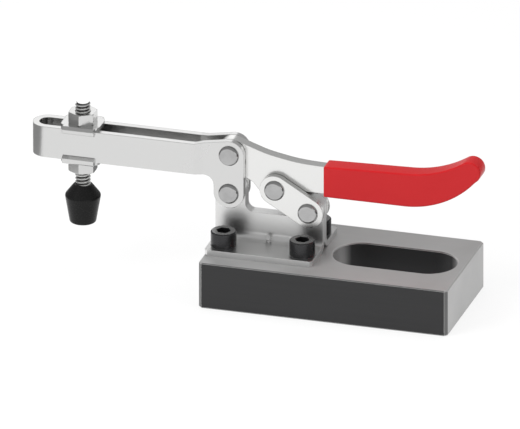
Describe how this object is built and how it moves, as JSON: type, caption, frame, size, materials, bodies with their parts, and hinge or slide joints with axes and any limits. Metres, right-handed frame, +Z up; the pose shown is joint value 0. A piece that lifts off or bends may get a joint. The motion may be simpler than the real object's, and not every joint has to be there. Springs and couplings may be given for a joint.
{
  "type": "toggle clamp",
  "caption": "Horizontal toggle clamp with a U-shaped arm, rubber-tipped spindle and red grip, on a slotted mounting block.",
  "frame": {"origin": "on the block's underside, below the middle of the four cap screws", "axes": "-X towards the arm's tip, +X towards the handle, +Z up from the block, Y = 0 is the mirror plane"},
  "size_m": [0.1804, 0.051, 0.0695],
  "materials": {
    "block_steel": "ground and darkened steel",
    "zinc_sheet": "bright zinc-plated sheet",
    "rivet_steel": "bright, turned",
    "bright_thread": "zinc-plated thread",
    "zinc_fastener": "zinc-plated",
    "red_grip": "soft vinyl, satin",
    "black_rubber": "matte",
    "black_screw": "black oxide"
  },
  "bodies": {
    "base": {"mounting_block": "block_steel", "base_bracket_near": "zinc_sheet", "base_bracket_far": "zinc_sheet", "cap_screw_front_near": "black_screw", "cap_screw_front_far": "black_screw", "cap_screw_rear_near": "black_screw", "cap_screw_rear_far": "black_screw"},
    "arm": {"clamping_arm": "zinc_sheet", "arm_pivot_rivet": "rivet_steel", "handle_pivot_rivet": "rivet_steel"},
    "links": {"link_near": "zinc_sheet", "link_far": "zinc_sheet", "link_handle_rivet": "rivet_steel", "link_base_rivet": "rivet_steel"},
    "handle": {"handle_plate": "zinc_sheet", "grip": "red_grip"},
    "carriage": {"upper_nut": "zinc_fastener", "lower_nut": "zinc_fastener", "upper_washer": "zinc_fastener", "lower_washer": "zinc_fastener"},
    "spindle_set": {"spindle": "bright_thread", "rubber_tip": "black_rubber"}
  },
  "joints": [
    {"name": "arm_swing", "type": "hinge", "parent": "base", "child": "arm", "pos_m": [-0.0156, 0, 0.0401], "axis": [0, 1, 0], "range_deg": [0, 80]},
    {"name": "link_swing", "type": "hinge", "parent": "base", "child": "links", "pos_m": [0.0162, 0, 0.0356], "axis": [0, 1, 0], "range_deg": [0, 88.5]},
    {"name": "handle_swing", "type": "hinge", "parent": "links", "child": "handle", "pos_m": [0.0028, 0, 0.0436], "axis": [0, 1, 0], "range_deg": [-136.5, 0]},
    {"name": "spindle_slide", "type": "slide", "parent": "arm", "child": "carriage", "axis": [1, 0, 0], "range_m": [-0.0138, 0.038]},
    {"name": "spindle_height", "type": "slide", "parent": "carriage", "child": "spindle_set", "axis": [0, 0, 1], "range_m": [-0.0028, 0.005]}
  ],
  "couplings": [
    {"joint": "link_swing", "follows": "arm_swing", "ratio": 1.1062},
    {"joint": "handle_swing", "follows": "arm_swing", "ratio": -1.7063}
  ]
}
